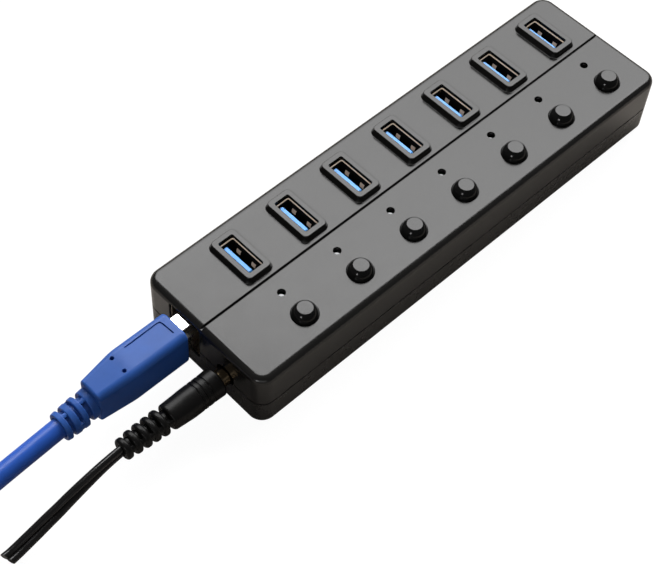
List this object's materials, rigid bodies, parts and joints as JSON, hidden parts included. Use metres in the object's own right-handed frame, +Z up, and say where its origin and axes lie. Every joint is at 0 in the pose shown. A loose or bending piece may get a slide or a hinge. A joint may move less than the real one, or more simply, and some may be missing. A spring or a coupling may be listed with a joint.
{
  "type": "usb hub",
  "caption": "Long black powered USB hub: upright ports in raised collars along one side, a press switch and lamp beside each, with its upstream USB plug and power plug fitted.",
  "frame": {"origin": "middle of the flat underside of the lower cover, above the table by the height of the feet", "axes": "+X along the hub away from the cable sockets, +Y towards the port side (buttons are on -Y), +Z up"},
  "size_m": [0.2481, 0.049, 0.0251],
  "materials": {
    "case_plastic": "black, fine satin to semi-gloss moulding",
    "board": "green solder mask over glass-fibre laminate",
    "steel_shell": "bright nickel-plated folded sheet steel",
    "port_insert": "sky-blue satin moulding with gold-plated contacts",
    "button_plastic": "black, smooth and semi-gloss",
    "black_insert": "black satin moulding",
    "lamp": "clear to milky epoxy lens",
    "chip": "black epoxy package",
    "capacitor_sleeve": "dark blue shrink sleeve",
    "foot_rubber": "black matt rubber",
    "screw_zinc": "bright zinc plate",
    "cable_blue": "royal-blue satin flexible PVC",
    "cable_black": "black satin flexible PVC",
    "nickel": "nickel-plated brass"
  },
  "bodies": {
    "hub": {"top_cover": "case_plastic", "bottom_cover": "case_plastic", "main_board": "board", "port_shell_1": "steel_shell", "port_shell_2": "steel_shell", "port_shell_3": "steel_shell", "port_shell_4": "steel_shell", "port_shell_5": "steel_shell", "port_shell_6": "steel_shell", "port_shell_7": "steel_shell", "port_tongue_1": "port_insert", "port_tongue_2": "port_insert", "port_tongue_3": "port_insert", "port_tongue_4": "port_insert", "port_tongue_5": "port_insert", "port_tongue_6": "port_insert", "port_tongue_7": "port_insert", "switch_body_1": "black_insert", "switch_body_2": "black_insert", "switch_body_3": "black_insert", "switch_body_4": "black_insert", "switch_body_5": "black_insert", "switch_body_6": "black_insert", "switch_body_7": "black_insert", "led_1": "lamp", "led_2": "lamp", "led_3": "lamp", "led_4": "lamp", "led_5": "lamp", "led_6": "lamp", "led_7": "lamp", "upstream_socket_shell": "steel_shell", "upstream_socket_core": "black_insert", "power_jack_body": "black_insert", "power_jack_pin": "nickel", "hub_chip_1": "chip", "hub_chip_2": "chip", "bulk_capacitor": "capacitor_sleeve", "rubber_foot_1": "foot_rubber", "rubber_foot_2": "foot_rubber", "rubber_foot_3": "foot_rubber", "rubber_foot_4": "foot_rubber", "cover_screw_1": "screw_zinc", "cover_screw_2": "screw_zinc", "cover_screw_3": "screw_zinc", "cover_screw_4": "screw_zinc"},
    "button_1": {"button_cap_1": "button_plastic"},
    "button_2": {"button_cap_2": "button_plastic"},
    "button_3": {"button_cap_3": "button_plastic"},
    "button_4": {"button_cap_4": "button_plastic"},
    "button_5": {"button_cap_5": "button_plastic"},
    "button_6": {"button_cap_6": "button_plastic"},
    "button_7": {"button_cap_7": "button_plastic"},
    "usb_plug": {"usb_plug_shell": "steel_shell", "usb_plug_core": "black_insert", "usb_plug_overmold": "cable_blue", "usb_cable": "cable_blue"},
    "dc_plug": {"dc_plug_barrel": "nickel", "dc_plug_overmold": "cable_black", "dc_cable": "cable_black"}
  },
  "joints": [
    {"name": "button_1_press", "type": "slide", "parent": "hub", "child": "button_1", "axis": [0, 0, -1], "range_m": [0, 0.0018], "stiffness_N_per_m": 60, "springref_m": -0.002},
    {"name": "button_2_press", "type": "slide", "parent": "hub", "child": "button_2", "axis": [0, 0, -1], "range_m": [0, 0.0018], "stiffness_N_per_m": 60, "springref_m": -0.002},
    {"name": "button_3_press", "type": "slide", "parent": "hub", "child": "button_3", "axis": [0, 0, -1], "range_m": [0, 0.0018], "stiffness_N_per_m": 60, "springref_m": -0.002},
    {"name": "button_4_press", "type": "slide", "parent": "hub", "child": "button_4", "axis": [0, 0, -1], "range_m": [0, 0.0018], "stiffness_N_per_m": 60, "springref_m": -0.002},
    {"name": "button_5_press", "type": "slide", "parent": "hub", "child": "button_5", "axis": [0, 0, -1], "range_m": [0, 0.0018], "stiffness_N_per_m": 60, "springref_m": -0.002},
    {"name": "button_6_press", "type": "slide", "parent": "hub", "child": "button_6", "axis": [0, 0, -1], "range_m": [0, 0.0018], "stiffness_N_per_m": 60, "springref_m": -0.002},
    {"name": "button_7_press", "type": "slide", "parent": "hub", "child": "button_7", "axis": [0, 0, -1], "range_m": [0, 0.0018], "stiffness_N_per_m": 60, "springref_m": -0.002},
    {"name": "usb_plug_pull", "type": "slide", "parent": "hub", "child": "usb_plug", "axis": [-1, 0, 0], "range_m": [0, 0.03]},
    {"name": "dc_plug_pull", "type": "slide", "parent": "hub", "child": "dc_plug", "axis": [-1, 0, 0], "range_m": [0, 0.02]}
  ]
}
